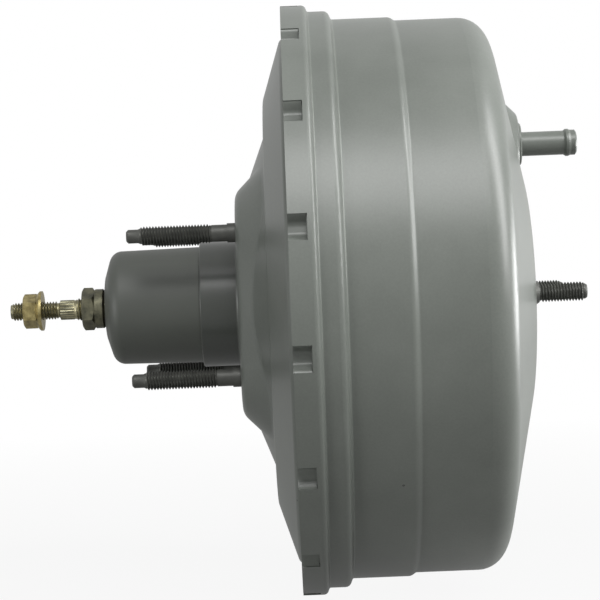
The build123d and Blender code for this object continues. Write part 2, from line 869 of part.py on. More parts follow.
def stop_key():
    """Forked key that limits how far the plunger moves in the valve body."""
    blank = Pos(key_x, 0, key_top) * Box(
        key_t, key_width, key_top + tail_r, align=(Align.MIN, Align.CENTER, Align.MAX)
    )
    fork = Pos(key_x + key_t / 2, 0, -key_groove_r) * Box(
        key_t + 2 * past,
        2 * (key_groove_r + clear),
        2 * tail_r,
        align=(Align.CENTER, Align.CENTER, Align.MIN),
    )
    return (blank - fork) & rod_along_x(key_x, key_x + key_t, tail_r - clear)


def poppet():
    """Moulded rubber valve disc with a folding skirt and a bead under its retainer."""
    back = poppet_x - poppet_skirt
    skirt_out_r = poppet_r - poppet_step
    skirt_in_r = skirt_out_r - poppet_wall
    hole_r = rod_neck_r + poppet_hole
    return turned(
        (poppet_x + poppet_t, hole_r),
        (poppet_x + poppet_t, poppet_r),
        (poppet_x, poppet_r),
        (poppet_x - poppet_round, skirt_out_r),
        (back + poppet_bead, skirt_out_r),
        (back + poppet_bead, tail_bore_r - seat),
        (back, tail_bore_r - seat),
        (back, skirt_in_r),
        (poppet_x - poppet_back, skirt_in_r),
        (poppet_x - poppet_back, hole_r),
    )


def poppet_retainer():
    """Pressed cup that holds the poppet's bead in the tail and seats the two valve springs."""
    front = poppet_x - poppet_skirt - seat
    back = front - retainer_cup
    outer = tail_bore_r - seat
    hole_r = rod_r + poppet_hole
    return turned(
        (front, outer),
        (front, hole_r),
        (front - retainer_base, hole_r),
        (front - retainer_base, outer - retainer_wall),
        (back, outer - retainer_wall),
        (back, outer),
    )


def air_filter():
    """Felt ring in the mouth of the tail, around the input rod."""
    x0 = tail_x + filter_inset
    return ring(x0, x0 + filter_t, filter_hole_r, tail_bore_r - seat)


def plunger():
    """Valve plunger: socket head for the rod's ball, key groove and a long stem to the disc."""
    head_rear = plunger_rear_x
    head_front = pivot_x + plunger_head_front
    groove_rear = key_x - valve_travel - seat
    groove_front = key_x + key_t + seat
    stem_end = disc_x - valve_travel - stem_gap
    body = turned(
        (head_rear, 0),
        (head_rear, plunger_head_r - plunger_edge),
        (head_rear + plunger_edge, plunger_head_r),
        (head_front, plunger_head_r),
        (head_front, stem_r),
        (groove_rear, stem_r),
        (groove_rear, key_groove_r),
        (groove_front, key_groove_r),
        (groove_front, stem_r),
        (stem_end, stem_r),
        (stem_end, 0),
    )
    socket = Pos(pivot_x, 0, 0) * Sphere(ball_r + slip)
    mouth_x = pivot_x - ball_r * socket_mouth
    mouth_r = ball_r * socket_mouth_r
    mouth = turned(
        (mouth_x, 0),
        (mouth_x, mouth_r),
        (head_rear - past, mouth_r + mouth_flare),
        (head_rear - past, 0),
    )
    return body - socket - mouth


def input_rod():
    """Push rod: ball end, neck, shank with a spring shoulder, threads and a serrated grip."""
    ball = Pos(pivot_x, 0, 0) * Sphere(ball_r)
    neck_x = pivot_x - ball_r + rod_neck_sink
    shank_x = plunger_rear_x - rod_neck_length
    thread_end_x = collar_x + collar_t + thread_start
    rod = turned(
        (neck_x, 0),
        (neck_x, rod_neck_r - rod_neck_taper),
        (shank_x, rod_neck_r),
        (shank_x - rod_neck_run, rod_r),
        (rod_shoulder_x + rod_shoulder_t, rod_r),
        (rod_shoulder_x + rod_shoulder_t, rod_shoulder_r),
        (rod_shoulder_x, rod_shoulder_r),
        (rod_shoulder_x, rod_r),
        (thread_end_x, rod_r),
        (thread_end_x, big_thread_r),
        (big_thread_x, big_thread_r),
        (big_thread_x - thread_run_out, spline_r),
        (spline_x, spline_r),
        (spline_x, small_thread_r),
        (rod_tip_x + thread_run_out, small_thread_r),
        (rod_tip_x, small_thread_r - thread_run_out),
        (rod_tip_x, 0),
    )
    return ball + rod


def rod_collar():
    """Round collar on the rod just behind the cover."""
    bore_r = big_thread_r + seat
    front = collar_x + collar_t
    return turned(
        (collar_x, bore_r),
        (collar_x, collar_r - collar_edge),
        (collar_x + collar_edge, collar_r),
        (front - collar_edge, collar_r),
        (front, collar_r - collar_edge),
        (front, bore_r),
    )


def lock_nut():
    """Hexagon lock nut against the collar."""
    return hexagon_nut(lock_nut_x, collar_x, lock_nut_af, big_thread_r + seat)


def flange_nut():
    """Flanged hexagon nut near the rod's tip."""
    hex_end = flange_nut_x + flange_nut_hex
    back = flange_nut_x + flange_nut_t
    bore_r = small_thread_r + seat
    nut = hexagon_nut(flange_nut_x, hex_end + flange_edge, flange_nut_af, bore_r)
    skirt = turned(
        (hex_end, bore_r),
        (hex_end, flange_nut_af / 2 - flange_neck),
        (back - flange_edge - flange_round, flange_nut_r - flange_drop),
        (back - flange_edge, flange_nut_r),
        (back, flange_nut_r),
        (back, bore_r),
    )
    return nut + skirt


def reaction_disc():
    """Rubber disc between the plunger and the output rod."""
    return rod_along_x(disc_x + seat, disc_x + disc_t - seat, disc_r - seat)


def output_rod():
    """Rod that pushes the master cylinder's piston, with a broad foot on the reaction disc."""
    foot_x = disc_x + disc_t
    foot_end_x = foot_x + output_foot_t
    step_x = output_tip_x - output_tip_length
    return turned(
        (foot_x, 0),
        (foot_x, disc_r - seat),
        (foot_end_x - output_foot_edge, disc_r - seat),
        (foot_end_x + output_foot_edge, output_rod_r + output_foot_cone),
        (foot_end_x + output_foot_run, output_rod_r),
        (step_x, output_rod_r),
        (step_x, output_tip_r),
        (output_tip_x - output_tip_edge, output_tip_r),
        (output_tip_x, output_tip_r - output_tip_edge),
        (output_tip_x, 0),
    )


def rod_cap():
    """Pressed cap on the front hub: keeps the output rod in place and seats the return spring."""
    flange_front = front_piston_x + plate_t + seat + cap_t
    cup_front = front_hub_x + seat + cap_t
    cup_r = front_hub_r + seat + cap_t
    path = [
        (flange_front, main_spring_r + 2 * main_wire_r),
        (flange_front, cup_r),
        (cup_front, cup_r),
        (cup_front, output_rod_r + cap_hole),
    ]
    return pressed(path, [cap_bend_r, cap_bend_r], cap_t)


def return_spring():
    """Main return spring between the rod cap's flange and the front plate."""
    x0 = front_piston_x + plate_t + 2 * seat + cap_t
    return coil(x0, spring_seat_x - 2 * seat, main_spring_r, main_wire_r, main_turns)


def poppet_spring():
    """Light spring that closes the poppet."""
    x0 = poppet_x - poppet_skirt + spring_gap
    x1 = poppet_x - poppet_back - spring_gap
    return coil(x0, x1, poppet_spring_r, poppet_wire_r, poppet_turns)


def rod_return_spring():
    """Spring that pushes the input rod back to rest."""
    x0 = rod_shoulder_x + rod_shoulder_t + seat
    x1 = poppet_x - poppet_skirt - retainer_base - 2 * seat
    return coil(x0, x1, rod_spring_r, rod_wire_r, rod_turns)


def build():
    """Every node by name; a list becomes one node of separate solids."""
    return {
        "front_shell": front_shell(),
        "rear_shell": rear_shell(),
        "centre_plate": centre_plate(),
        "front_reinforcement": front_reinforcement(),
        "rear_reinforcement": rear_reinforcement(),
        "front_studs": front_studs(),
        "rear_studs": rear_studs(),
        "vacuum_nipple": vacuum_nipple(),
        "neck_cover": neck_cover(),
        "rear_seal": rear_seal(),
        "rear_bush": rear_bush(),
        "seal_retainer": seal_retainer(),
        "centre_bush": centre_bush(),
        "front_diaphragm": front_diaphragm(),
        "rear_diaphragm": rear_diaphragm(),
        "front_piston": piston_plate(front_piston_x, front_hub_r + seat),
        "rear_piston": piston_plate(rear_piston_x, tube_r + seat),
        "valve_body": valve_body(),
        "stop_key": stop_key(),
        "poppet": poppet(),
        "poppet_retainer": poppet_retainer(),
        "poppet_spring": poppet_spring(),
        "air_filter": air_filter(),
        "rod_cap": rod_cap(),
        "reaction_disc": reaction_disc(),
        "output_rod": output_rod(),
        "return_spring": return_spring(),
        "rod_return_spring": rod_return_spring(),
        "plunger": plunger(),
        "input_rod": input_rod(),
        "rod_collar": rod_collar(),
        "lock_nut": lock_nut(),
        "flange_nut": flange_nut(),
    }


os.makedirs("parts", exist_ok=True)
for node, shape in build().items():
    solids = Compound(children=list(shape)) if isinstance(shape, list) else shape
    export_step(solids, f"parts/{node}.step")
    print(node, round(solids.volume), solids.is_valid)
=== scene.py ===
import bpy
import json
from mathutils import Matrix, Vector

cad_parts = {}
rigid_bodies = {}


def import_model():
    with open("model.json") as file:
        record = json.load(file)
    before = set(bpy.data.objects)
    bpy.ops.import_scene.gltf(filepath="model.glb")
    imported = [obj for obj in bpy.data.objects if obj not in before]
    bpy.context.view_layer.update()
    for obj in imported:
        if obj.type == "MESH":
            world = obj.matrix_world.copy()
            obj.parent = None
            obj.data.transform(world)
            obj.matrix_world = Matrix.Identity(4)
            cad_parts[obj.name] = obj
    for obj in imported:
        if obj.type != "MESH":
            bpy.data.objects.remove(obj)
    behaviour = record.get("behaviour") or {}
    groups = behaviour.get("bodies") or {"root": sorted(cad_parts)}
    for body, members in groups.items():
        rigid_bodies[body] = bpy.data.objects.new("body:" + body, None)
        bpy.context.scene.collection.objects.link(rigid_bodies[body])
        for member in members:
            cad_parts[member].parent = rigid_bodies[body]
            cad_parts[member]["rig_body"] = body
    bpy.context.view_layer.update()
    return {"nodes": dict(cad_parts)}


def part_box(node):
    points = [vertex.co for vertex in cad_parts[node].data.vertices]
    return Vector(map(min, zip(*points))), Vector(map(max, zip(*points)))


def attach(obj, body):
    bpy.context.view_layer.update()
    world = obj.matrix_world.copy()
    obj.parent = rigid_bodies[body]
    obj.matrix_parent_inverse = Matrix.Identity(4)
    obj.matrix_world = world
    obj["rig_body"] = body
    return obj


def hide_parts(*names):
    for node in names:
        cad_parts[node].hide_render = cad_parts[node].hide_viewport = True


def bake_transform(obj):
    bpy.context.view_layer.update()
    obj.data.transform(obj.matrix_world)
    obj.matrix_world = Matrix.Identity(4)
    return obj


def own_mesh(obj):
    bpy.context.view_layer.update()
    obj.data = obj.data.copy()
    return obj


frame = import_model()

import bmesh
import bpy
import json
from math import ceil, cos, pi, radians, sin
from mathutils import Matrix, Vector

# Camera: a level long-lens view along +Y, a little in front of the clamped rim and just above the
# axis. The booster lies with its front end slightly raised in the picture, so the camera is rolled.
mm = 0.001
camera_row_x = 25.63 * mm
camera_distance = 860 * mm
camera_height = 16 * mm
aim_height = 0.25 * mm
camera_roll = radians(2.3)
camera_lens = 118.7
sensor_width = 36

camera_data = bpy.data.cameras.new("photo_camera")
camera_data.lens = camera_lens
camera_data.sensor_width = sensor_width
camera_data.clip_start = 0.02
camera_data.clip_end = 30
camera = bpy.data.objects.new("photo_camera", camera_data)
bpy.context.scene.collection.objects.link(camera)
camera.location = (camera_row_x, -camera_distance, camera_height)
look = (Vector((camera_row_x, 0, aim_height)) - camera.location).normalized()
right = Vector((cos(camera_roll), 0, -sin(camera_roll)))
right = (right - look * right.dot(look)).normalized()
up = right.cross(look)
camera.rotation_mode = "QUATERNION"
camera.rotation_quaternion = Matrix((right, up, -look)).transposed().to_quaternion()
bpy.context.scene.camera = camera
bpy.context.scene.view_settings.view_transform = "Standard"


# Studio: a wide matt floor just under the drum, and a plain white surround. The floor answers the
# camera mostly with plain white and keeps a soft part of the booster's shadow.
def linear(code):
    """sRGB hex colour as a linear RGBA colour."""
    channels = [int(code[i:i + 2], 16) / 255 for i in (1, 3, 5)]
    return [c / 12.92 if c <= 0.04045 else ((c + 0.055) / 1.055) ** 2.4 for c in channels] + [1]


def add(tree, kind, inputs=None, **settings):
    """Adds a shader node with its settings; an input is a value or another node's output."""
    made = tree.nodes.new("ShaderNode" + kind)
    for name, value in settings.items():
        setattr(made, name, value)
    for socket, value in (inputs or {}).items():
        if isinstance(value, bpy.types.NodeSocket):
            tree.links.new(value, made.inputs[socket])
        else:
            made.inputs[socket].default_value = value
    return made


def seen_directly(tree, share, mirrored):
    """Share of plain white for the camera; glossy rays get a part of it and light rays none."""
    path = add(tree, "LightPath")
    shine = add(tree, "Math", {0: path.outputs["Is Glossy Ray"], 1: mirrored}, operation="MULTIPLY")
    seen = path.outputs["Is Camera Ray"]
    for other in (shine.outputs[0], path.outputs["Is Transmission Ray"]):
        seen = add(tree, "Math", {0: seen, 1: other}, operation="MAXIMUM").outputs[0]
    return add(tree, "Math", {0: seen, 1: share}, operation="MULTIPLY").outputs[0]


floor_gap = 0.3 * mm
floor_half = 4.0
near_share = 0.92
floor_mirrored = 0.4
surround_mirrored = 0.75
near_reach = 0.25
far_reach = 0.9
floor_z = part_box("front_shell")[0].z - floor_gap

floor_mesh = bpy.data.meshes.new("studio_floor")
corners = [(x * floor_half, y * floor_half, floor_z) for x, y in ((-1, -1), (1, -1), (1, 1), (-1, 1))]
floor_mesh.from_pydata(corners, [], [(0, 1, 2, 3)])
floor = bpy.data.objects.new("studio_floor", floor_mesh)
bpy.context.scene.collection.objects.link(floor)
floor_paint = bpy.data.materials.new("matt_white_floor_paper")
floor_paint.use_nodes = True
tree = floor_paint.node_tree
tree.nodes.clear()
matt = add(tree, "BsdfDiffuse", {"Color": linear("#8f908e")})
glow = add(tree, "Emission", {"Color": linear("#ffffff"), "Strength": 1.0})
away = add(tree, "VectorMath", {0: add(tree, "TexCoord").outputs["Object"]}, operation="LENGTH")
reach = {"Value": away.outputs["Value"], "From Min": near_reach, "From Max": far_reach}
share = add(tree, "MapRange", reach | {"To Min": near_share})
white_share = seen_directly(tree, share.outputs[0], floor_mirrored)
paper = add(tree, "MixShader", {0: white_share, 1: matt.outputs[0], 2: glow.outputs[0]})
add(tree, "OutputMaterial", {"Surface": paper.outputs[0]})
floor_mesh.materials.append(floor_paint)

world = bpy.data.worlds.new("white_surround")
world.use_nodes = True
bpy.context.scene.world = world
tree = world.node_tree
tree.nodes.clear()
ambient_level = 0.02
ambient = add(tree, "Background", {"Color": linear("#dfe4e6"), "Strength": ambient_level})
white = add(tree, "Background", {"Color": linear("#ffffff"), "Strength": 1.0})
white_share = seen_directly(tree, 1.0, surround_mirrored)
surround = add(tree, "MixShader", {0: white_share, 1: ambient.outputs[0], 2: white.outputs[0]})
add(tree, "OutputWorld", {"Surface": surround.outputs[0]})


def softbox(name, place, aim, width, height, power):
    """Rectangular diffused lamp."""
    data = bpy.data.lights.new(name, "AREA")
    data.shape = "RECTANGLE"
    data.size = width
    data.size_y = height
    data.energy = power
    lamp = bpy.data.objects.new(name, data)
    lamp.location = place
    lamp.rotation_euler = (Vector(aim) - Vector(place)).to_track_quat("-Z", "Y").to_euler()
    bpy.context.scene.collection.objects.link(lamp)


softbox("front_softbox", (0.15, -0.95, 1.02), (0.04, 0, 0), 1.0, 0.6, 14)
softbox("master_cylinder_side_softbox", (1.0, -0.35, 0.65), (0.05, -0.1, 0.05), 0.45, 1.2, 20)
softbox("dome_softbox", (1.0, 0.45, 0.0), (0.1, 0, 0), 0.5, 0.25, 5)
softbox("pedal_side_softbox", (-0.9, -0.7, 0.02), (-0.05, 0, 0), 0.4, 0.25, 4)


# Shells: deep-drawn mild steel, sprayed all over with one coat of satin grey paint after the two
# were locked together, so the rear cover, the drum and the hose pipe share one finish.
def start_material(name):
    """Empty node material with a Principled shader on its output."""
    material = bpy.data.materials.new(name)
    material.use_nodes = True
    material.node_tree.nodes.clear()
    shader = add(material.node_tree, "BsdfPrincipled")
    add(material.node_tree, "OutputMaterial", {"Surface": shader.outputs[0]})
    return material, material.node_tree, shader


def per_metre(size_mm):
    """Texture scale for a pattern whose features are that many millimetres apart."""
    return 1000 / size_mm


def sprayed_paint(name, light, dark, roughness, neck_shade):
    """Satin enamel from a spray gun: faint clouds, orange peel, nicks, and painted shade on the neck behind
    the flange.
    """
    material, tree, shader = start_material(name)
    place = add(tree, "TexCoord").outputs["Object"]
    cloudy = {"Vector": place, "Scale": per_metre(55), "Detail": 3.0, "Roughness": 0.6}
    clouds = add(tree, "TexNoise", cloudy)
    grain = add(tree, "TexNoise", {"Vector": place, "Scale": per_metre(0.9), "Detail": 2.0})
    peel = add(tree, "TexNoise", {"Vector": place, "Scale": per_metre(1.6), "Detail": 1.5, "Roughness": 0.4})
    tone = add(tree, "Math", {0: grain.outputs["Fac"], 1: 0.35, 2: 0.0}, operation="MULTIPLY_ADD")
    tone = add(tree, "Math", {0: clouds.outputs["Fac"], 1: tone.outputs[0]}, operation="ADD")
    shade = add(tree, "MapRange", {"Value": tone.outputs[0], "From Min": 0.42, "From Max": 0.92})
    coat = add(tree, "Mix", {0: shade.outputs[0], 6: linear(dark), 7: linear(light)}, data_type="RGBA")
    nicks = add(tree, "TexVoronoi", {"Vector": place, "Scale": per_metre(16)})
    chosen = add(tree, "Math", {0: nicks.outputs["Color"], 1: 0.72}, operation="GREATER_THAN")
    small = add(tree, "Math", {0: nicks.outputs["Distance"], 1: 0.035}, operation="LESS_THAN")
    nick = add(tree, "Math", {0: chosen.outputs[0], 1: small.outputs[0]}, operation="MULTIPLY")
    wear_and_highlight = add(tree, "Mix", {0: nick.outputs[0], 6: coat.outputs[2], 7: linear("#3c3d39")}, data_type="RGBA")
    sheen = {"Value": clouds.outputs["Fac"], "To Min": roughness - 0.04, "To Max": roughness + 0.05}
    gloss = add(tree, "MapRange", sheen)
    wavy = add(tree, "Bump", {"Height": peel.outputs["Fac"], "Strength": 0.25, "Distance": 0.05 * mm})
    # Painted shade: behind the flange (x below zero) the colour is mixed towards the neck shade colour, up
    # to 0.7.
    along = add(tree, "SeparateXYZ", {0: place}).outputs["X"]
    reach = {"Value": along, "From Min": -0.3 * mm, "From Max": -1.6 * mm, "To Max": 0.7}
    neck_shade_mask = add(tree, "MapRange", reach)
    blend = {0: neck_shade_mask.outputs[0], 6: wear_and_highlight.outputs[2], 7: linear(neck_shade)}
    coat = add(tree, "Mix", blend, data_type="RGBA")
    tree.links.new(coat.outputs[2], shader.inputs["Base Color"])
    tree.links.new(gloss.outputs[0], shader.inputs["Roughness"])
    tree.links.new(wavy.outputs[0], shader.inputs["Normal"])
    return material


def dress(material, *names):
    """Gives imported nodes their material."""
    for name in names:
        slots = frame["nodes"][name].data.materials
        if not slots:
            slots.append(material)
        for i in range(len(slots)):
            slots[i] = material


# The shells' neck behind the flange gets a painted shade of #2e302d.
shell_paint = sprayed_paint("satin_grey_spray_enamel", "#6b6f6a", "#5c605b", 0.36, "#2e302d")
dress(shell_paint, "front_shell", "rear_shell", "vacuum_nipple")

# Neck cover: one-piece moulded cover pressed over the neck, sprayed with the shells but duller,
# because the paint sinks into the moulding. It lies wholly behind the flange, so all of it takes the
# painted shade of the neck.
cover_paint = sprayed_paint("dull_grey_spray_on_moulding", "#545752", "#464945", 0.50, "#4d504b")
dress(cover_paint, "neck_cover")


# Rear studs: cold-headed steel with rolled M8 threads and a dark manganese phosphate. Each has a
# dog point, the thread, a waisted shank and a shoulder that is pressed through the shell.
def smooth_shaded(mesh, angle=40):
    """Shades a mesh smooth and keeps its sharp corners."""
    mesh.shade_smooth()
    mesh.set_sharp_from_angle(angle=radians(angle))


def shaft_mesh(name, stations, places, steps=64):
    """Bars along X: stations are (x, radius or function of the angle), places are (y, z) centres."""
    verts = []
    faces = []
    for y, z in places:
        first = len(verts)
        for x, radius in stations:
            for j in range(steps):
                angle = 2 * pi * j / steps
                r = radius(angle) if callable(radius) else radius
                verts.append((x * mm, y * mm + r * mm * cos(angle), z * mm + r * mm * sin(angle)))
        for i in range(len(stations) - 1):
            for j in range(steps):
                a = first + i * steps + j
                b = first + i * steps + (j + 1) % steps
                faces.append((a, a + steps, b + steps, b))
        faces.append([first + j for j in range(steps)])
        faces.append([first + (len(stations) - 1) * steps + j for j in reversed(range(steps))])
    mesh = bpy.data.meshes.new(name)
    mesh.from_pydata(verts, [], faces)
    mesh.validate()
    smooth_shaded(mesh)
    made = bpy.data.objects.new(name, mesh)
    bpy.context.scene.collection.objects.link(made)
    return made


def thread_radius(x, pitch, crest_r, depth, angle):
    """Radius of a rolled thread at a place along the shaft and round it."""
    phase = (x / pitch - angle / (2 * pi)) % 1.0
    rise = abs(phase - 0.5) * 2
    flank = min(max((rise - 0.10) / 0.78, 0.0), 1.0)
    return crest_r - depth * flank


def threaded(x0, x1, pitch, crest_r, depth, fade=0.8):
    """Stations of a thread from x0 to x1, fading into its core at both ends."""
    count = ceil(abs(x1 - x0) / pitch * 8)
    stations = []
    for i in range(count + 1):
        x = x0 + (x1 - x0) * i / count
        edge = min(abs(x - x0), abs(x1 - x))
        reach = min(edge / (fade * pitch), 1.0)
        core = crest_r - depth

        def radius(angle, x=x, reach=reach, core=core):
            return core + (thread_radius(x, pitch, crest_r, depth, angle) - core) * reach

        stations.append((x, radius))
    return stations


m8_pitch = 1.25
m8_crest = 3.99
m8_depth = 0.85
rear_low, rear_high = (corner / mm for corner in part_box("rear_studs"))
stud_head_r = 7.0
stud_y = rear_high.y - stud_head_r
stud_z = rear_high.z - stud_head_r
stud_seat_r = 4.6
stud_head_t = 2.6
dog_r = 2.85
dog_edge = 0.8
shank_r = 3.5
shoulder_r = 4.0
sharp_step = 0.02
shoulder_x = -3.4
shank_x = -9.9
dog_x = rear_low.x + 5.6
rear_stud_stations = [
    (rear_low.x, dog_r - dog_edge),
    (rear_low.x + dog_edge, dog_r),
    (dog_x - dog_edge, dog_r),
    *threaded(dog_x - 0.1, shank_x, m8_pitch, m8_crest, m8_depth),
    (shank_x + 0.05, shank_r),
    (shoulder_x, shank_r),
    (shoulder_x + sharp_step, shoulder_r),
    (0.0, shoulder_r),
    (sharp_step, stud_seat_r),
    (rear_high.x - stud_head_t, stud_seat_r),
    (rear_high.x - stud_head_t + sharp_step, stud_head_r),
    (rear_high.x - 1.0, stud_head_r),
    (rear_high.x, stud_head_r - 1),
]
rear_places = [(y * stud_y, z * stud_z) for y in (-1, 1) for z in (-1, 1)]
rear_studs = shaft_mesh("rear_stud_set", rear_stud_stations, rear_places)


def phosphated_steel(name):
    """Phosphate conversion coat, oiled: dark grey crystals, with a patchy painted highlight on the thread
    crests.
    """
    material, tree, shader = start_material(name)
    place = add(tree, "TexCoord").outputs["Object"]
    crystals = add(tree, "TexNoise", {"Vector": place, "Scale": per_metre(0.35), "Detail": 3.0})
    blotch = add(tree, "TexNoise", {"Vector": place, "Scale": per_metre(4), "Detail": 3.0})
    # Painted highlight: sharp crests (high pointiness) are lightened towards #8c8c84 in patches.
    crest_pointiness = add(tree, "NewGeometry").outputs["Pointiness"]
    crest_highlight = add(tree, "MapRange", {"Value": crest_pointiness, "From Min": 0.52, "From Max": 0.60})
    crest_highlight = add(tree, "Math", {0: crest_highlight.outputs[0], 1: blotch.outputs["Fac"]}, operation="MULTIPLY")
    greys = {0: blotch.outputs["Fac"], 6: linear("#3a3b38"), 7: linear("#565753")}
    dark = add(tree, "Mix", greys, data_type="RGBA")
    wear_and_highlight = {0: crest_highlight.outputs[0], 6: dark.outputs[2], 7: linear("#8c8c84")}
    coat = add(tree, "Mix", wear_and_highlight, data_type="RGBA")
    rough = add(tree, "MapRange", {"Value": crystals.outputs["Fac"], "To Min": 0.38, "To Max": 0.62})
    pitted = add(tree, "Bump", {"Height": crystals.outputs["Fac"], "Strength": 0.3, "Distance": 0.02 * mm})
    shader.inputs["Metallic"].default_value = 0.35
    tree.links.new(coat.outputs[2], shader.inputs["Base Color"])
    tree.links.new(rough.outputs[0], shader.inputs["Roughness"])
    tree.links.new(pitted.outputs[0], shader.inputs["Normal"])
    return material


stud_phosphate = phosphated_steel("oiled_manganese_phosphate")
rear_studs.data.materials.append(stud_phosphate)
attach(rear_studs, "root")
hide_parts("rear_studs")

# Front studs: the same stock for the master cylinder, with a coned foot on the drum's face.
front_low, front_high = (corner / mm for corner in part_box("front_studs"))
front_head_r = 6.0
front_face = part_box("front_shell")[1].x / mm
front_y = 38.0
foot_r = 5.6
foot_length = 2.4
front_stud_stations = [
    (front_low.x, front_head_r - 0.6),
    (front_low.x + 0.6, front_head_r),
    (front_low.x + stud_head_t - sharp_step, front_head_r),
    (front_low.x + stud_head_t, stud_seat_r),
    (front_face + 0.05, stud_seat_r),
    (front_face + 0.06, foot_r),
    (front_face + foot_length, shoulder_r),
    *threaded(front_face + foot_length + 0.1, front_high.x - 0.9, m8_pitch, m8_crest, m8_depth),
    (front_high.x - 0.8, 3.2),
    (front_high.x, 2.7),
]
front_studs = shaft_mesh("front_stud_set", front_stud_stations, [(-front_y, 0), (front_y, 0)])
front_studs.data.materials.append(stud_phosphate)
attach(front_studs, "root")
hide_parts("front_studs")


# Input rod: turned steel push rod with an M8 tip for the clevis, a serrated grip, an M10 thread and
# a dull olive zinc plate. The ball end runs in the valve plunger.
def plated_steel(name, bright, dull, hollow_shade, roughness):
    """Passivated zinc: uneven tint, fine turning scratches, and painted shade darkening the hollows."""
    material, tree, shader = start_material(name)
    place = add(tree, "TexCoord").outputs["Object"]
    mottled = {"Vector": place, "Scale": per_metre(3.5), "Detail": 4.0, "Roughness": 0.65}
    tint = add(tree, "TexNoise", mottled)
    scratch = (per_metre(0.25), per_metre(3), per_metre(3))
    fine = add(tree, "Mapping", {"Vector": place, "Scale": scratch})
    lathe = add(tree, "TexNoise", {"Vector": fine.outputs[0], "Scale": 1.0, "Detail": 2.0})
    blend = add(tree, "MapRange", {"Value": tint.outputs["Fac"], "From Min": 0.35, "From Max": 0.65})
    plate = add(tree, "Mix", {0: blend.outputs[0], 6: linear(dull), 7: linear(bright)}, data_type="RGBA")
    # Painted shade: hollows (low pointiness) are darkened towards the shade colour.
    hollow = add(tree, "NewGeometry").outputs["Pointiness"]
    hollow_shade_mask = add(tree, "MapRange", {"Value": hollow, "From Min": 0.50, "From Max": 0.44, "To Max": 0.75})
    shaded_hollows = {0: hollow_shade_mask.outputs[0], 6: plate.outputs[2], 7: linear(hollow_shade)}
    cover = add(tree, "Mix", shaded_hollows, data_type="RGBA")
    sheen = {"Value": tint.outputs["Fac"], "To Min": roughness - 0.08, "To Max": roughness + 0.12}
    rough = add(tree, "MapRange", sheen)
    turned = add(tree, "Bump", {"Height": lathe.outputs["Fac"], "Strength": 0.35, "Distance": 0.02 * mm})
    shader.inputs["Metallic"].default_value = 0.85
    tree.links.new(cover.outputs[2], shader.inputs["Base Color"])
    tree.links.new(rough.outputs[0], shader.inputs["Roughness"])
    tree.links.new(turned.outputs[0], shader.inputs["Normal"])
    return material


rod_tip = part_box("input_rod")[0].x / mm
collar_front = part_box("rod_collar")[1].x / mm
m10_pitch = 1.25
m10_crest = 4.87
big_thread_x = -71.6
serration_x = -78.7
serration_count = 20
serration_depth = 0.45
rod_r = 4.5
spring_shoulder_x = -35.0
spring_shoulder_r = 8.2
spring_shoulder_t = 1.6
grip_r = 4.3
rod_neck_r = 3.2
ball_r = 5.0
pivot_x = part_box("input_rod")[1].x / mm - ball_r


def serrated(angle):
    """Rolled axial serrations round the grip."""
    wave = abs((angle * serration_count / (2 * pi)) % 1.0 - 0.5) * 2
    return grip_r - serration_depth * wave


ball_steps = 12
ball_sweep = pi - radians(36)
ball_stations = []
for i in range(ball_steps + 1):
    turn = ball_sweep * (1 - i / ball_steps)
    ball_stations.append((pivot_x + ball_r * cos(turn), max(ball_r * sin(turn), 0.02)))
rod_stations = [
    (rod_tip, 3.0),
    *threaded(rod_tip + 0.5, serration_x - 0.4, m8_pitch, 3.93, m8_depth),
    (serration_x, 3.4),
    (serration_x + 0.35, serrated),
    (big_thread_x - 0.9, serrated),
    (big_thread_x - 0.6, 4.0),
    *threaded(big_thread_x, collar_front + 0.5, m10_pitch, m10_crest, 0.7),
    (collar_front + 0.6, rod_r),
    (spring_shoulder_x, rod_r),
    (spring_shoulder_x + sharp_step, spring_shoulder_r),
    (spring_shoulder_x + spring_shoulder_t - sharp_step, spring_shoulder_r),
    (spring_shoulder_x + spring_shoulder_t, rod_r),
    (pivot_x - 11.6, rod_r),
    (pivot_x - 10.0, rod_neck_r),
    (pivot_x - 4.4, 2.8),
    *ball_stations,
]
input_rod = shaft_mesh("input_push_rod", rod_stations, [(0, 0)], steps=80)
olive_zinc = plated_steel("olive_passivated_zinc", "#a8a284", "#757159", "#5a5b50", 0.38)
input_rod.data.materials.append(olive_zinc)
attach(input_rod, "input_rod")
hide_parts("input_rod")
sprayed_zinc = plated_steel("zinc_dulled_by_overspray", "#6c6a58", "#47473c", "#50514b", 0.50)
dress(sprayed_zinc, "lock_nut", "rod_collar")

# Flange nut: yellow passivated steel nut run onto the tip of the rod, cleaner than the rest
# because it was fitted after the spraying.
yellow_zinc = plated_steel("yellow_passivated_zinc", "#a89b6c", "#776c47", "#5f5c4b", 0.36)
dress(yellow_zinc, "flange_nut")


